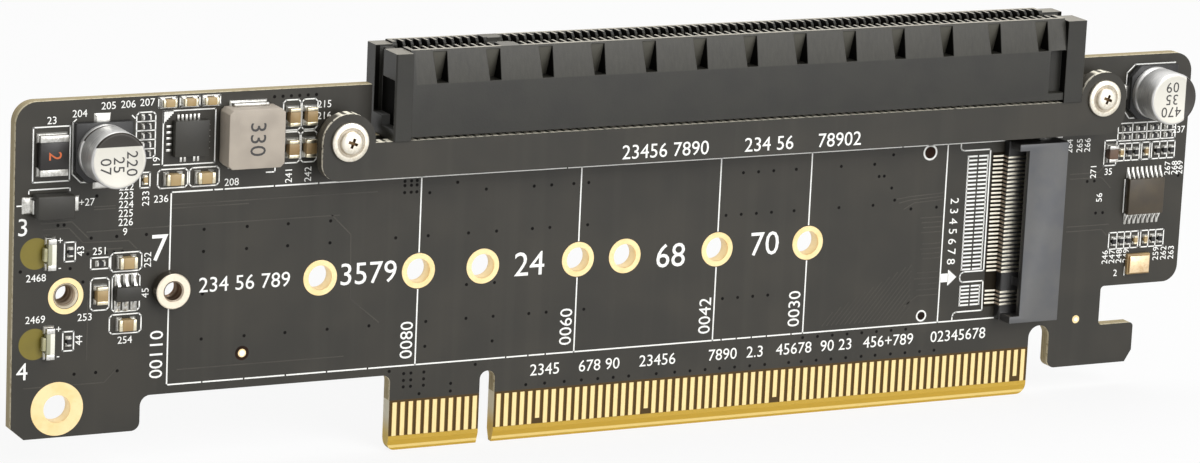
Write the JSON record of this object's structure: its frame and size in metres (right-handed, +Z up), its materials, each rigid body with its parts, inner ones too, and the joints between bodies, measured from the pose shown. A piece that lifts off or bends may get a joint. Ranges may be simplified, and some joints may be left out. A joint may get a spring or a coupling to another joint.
{
  "type": "nvme adapter card",
  "caption": "Low dark grey adapter card: edge connector below, card slot on the top edge, and a keyed drive socket with standoff holes on each face.",
  "frame": {"origin": "middle of the board's thickness, on the bottom edge of the edge tongue, at the centre of its key notch", "axes": "+X along the card towards the drive sockets, +Y out of the back face, +Z up from the edge tongue to the card slot; the component face looks towards -Y"},
  "size_m": [0.15, 0.0102, 0.0468],
  "materials": {
    "board_mask": "satin dark grey solder mask over glass-epoxy board",
    "gold_plate": "smooth pale gold plating",
    "tin_plate": "soft bright tin",
    "bright_nickel": "satin nickel plating",
    "slot_plastic": "moulded charcoal plastic, fine matt grain",
    "socket_plastic": "moulded mid grey plastic, satin",
    "can_aluminium": "drawn aluminium can, printed top",
    "black_resin": "moulded black base",
    "ferrite_coat": "pressed iron powder, sealed, matt",
    "chip_resin": "black moulded resin, fine grain",
    "fuse_glaze": "black coating over laminate",
    "tan_ceramic": "fired tan ceramic",
    "cream_lid": "pale plated metal lid",
    "lamp_white": "white lamp body",
    "lamp_clear": "clear lens of a side lamp",
    "resistor_glaze": "black glaze"
  },
  "bodies": {
    "root": {"main_board": "board_mask", "edge_fingers": "gold_plate", "front_standoff": "bright_nickel", "back_standoff": "bright_nickel", "bridge_board": "board_mask", "bridge_screws": "bright_nickel", "bridge_spacers": "bright_nickel", "slot_housing": "slot_plastic", "slot_front_contacts": "gold_plate", "slot_rear_contacts": "gold_plate", "front_socket_housing": "socket_plastic", "front_socket_leads": "gold_plate", "front_socket_solder_tabs": "tin_plate", "back_socket_housing": "socket_plastic", "back_socket_leads": "gold_plate", "back_socket_solder_tabs": "tin_plate", "left_capacitor_can": "can_aluminium", "left_capacitor_base": "black_resin", "left_capacitor_leads": "tin_plate", "right_capacitor_can": "can_aluminium", "right_capacitor_base": "black_resin", "right_capacitor_leads": "tin_plate", "inductor_body": "ferrite_coat", "inductor_terminals": "tin_plate", "power_chip_body": "chip_resin", "clock_chip_body": "chip_resin", "clock_chip_pins": "tin_plate", "small_chip_body": "chip_resin", "small_chip_pins": "tin_plate", "fuse_body": "fuse_glaze", "fuse_ends": "tin_plate", "diode_body": "chip_resin", "diode_leads": "tin_plate", "crystal_base": "tan_ceramic", "crystal_lid": "cream_lid", "lamp_bodies": "lamp_white", "lamp_lenses": "lamp_clear", "lamp_ends": "tin_plate", "large_capacitor_bodies": "tan_ceramic", "large_capacitor_ends": "tin_plate", "medium_capacitor_bodies": "tan_ceramic", "medium_capacitor_ends": "tin_plate", "small_capacitor_bodies": "tan_ceramic", "small_capacitor_ends": "tin_plate", "resistor_bodies": "resistor_glaze", "resistor_ends": "tin_plate", "ferrite_bead_bodies": "ferrite_coat", "ferrite_bead_ends": "tin_plate"}
  },
  "joints": []
}
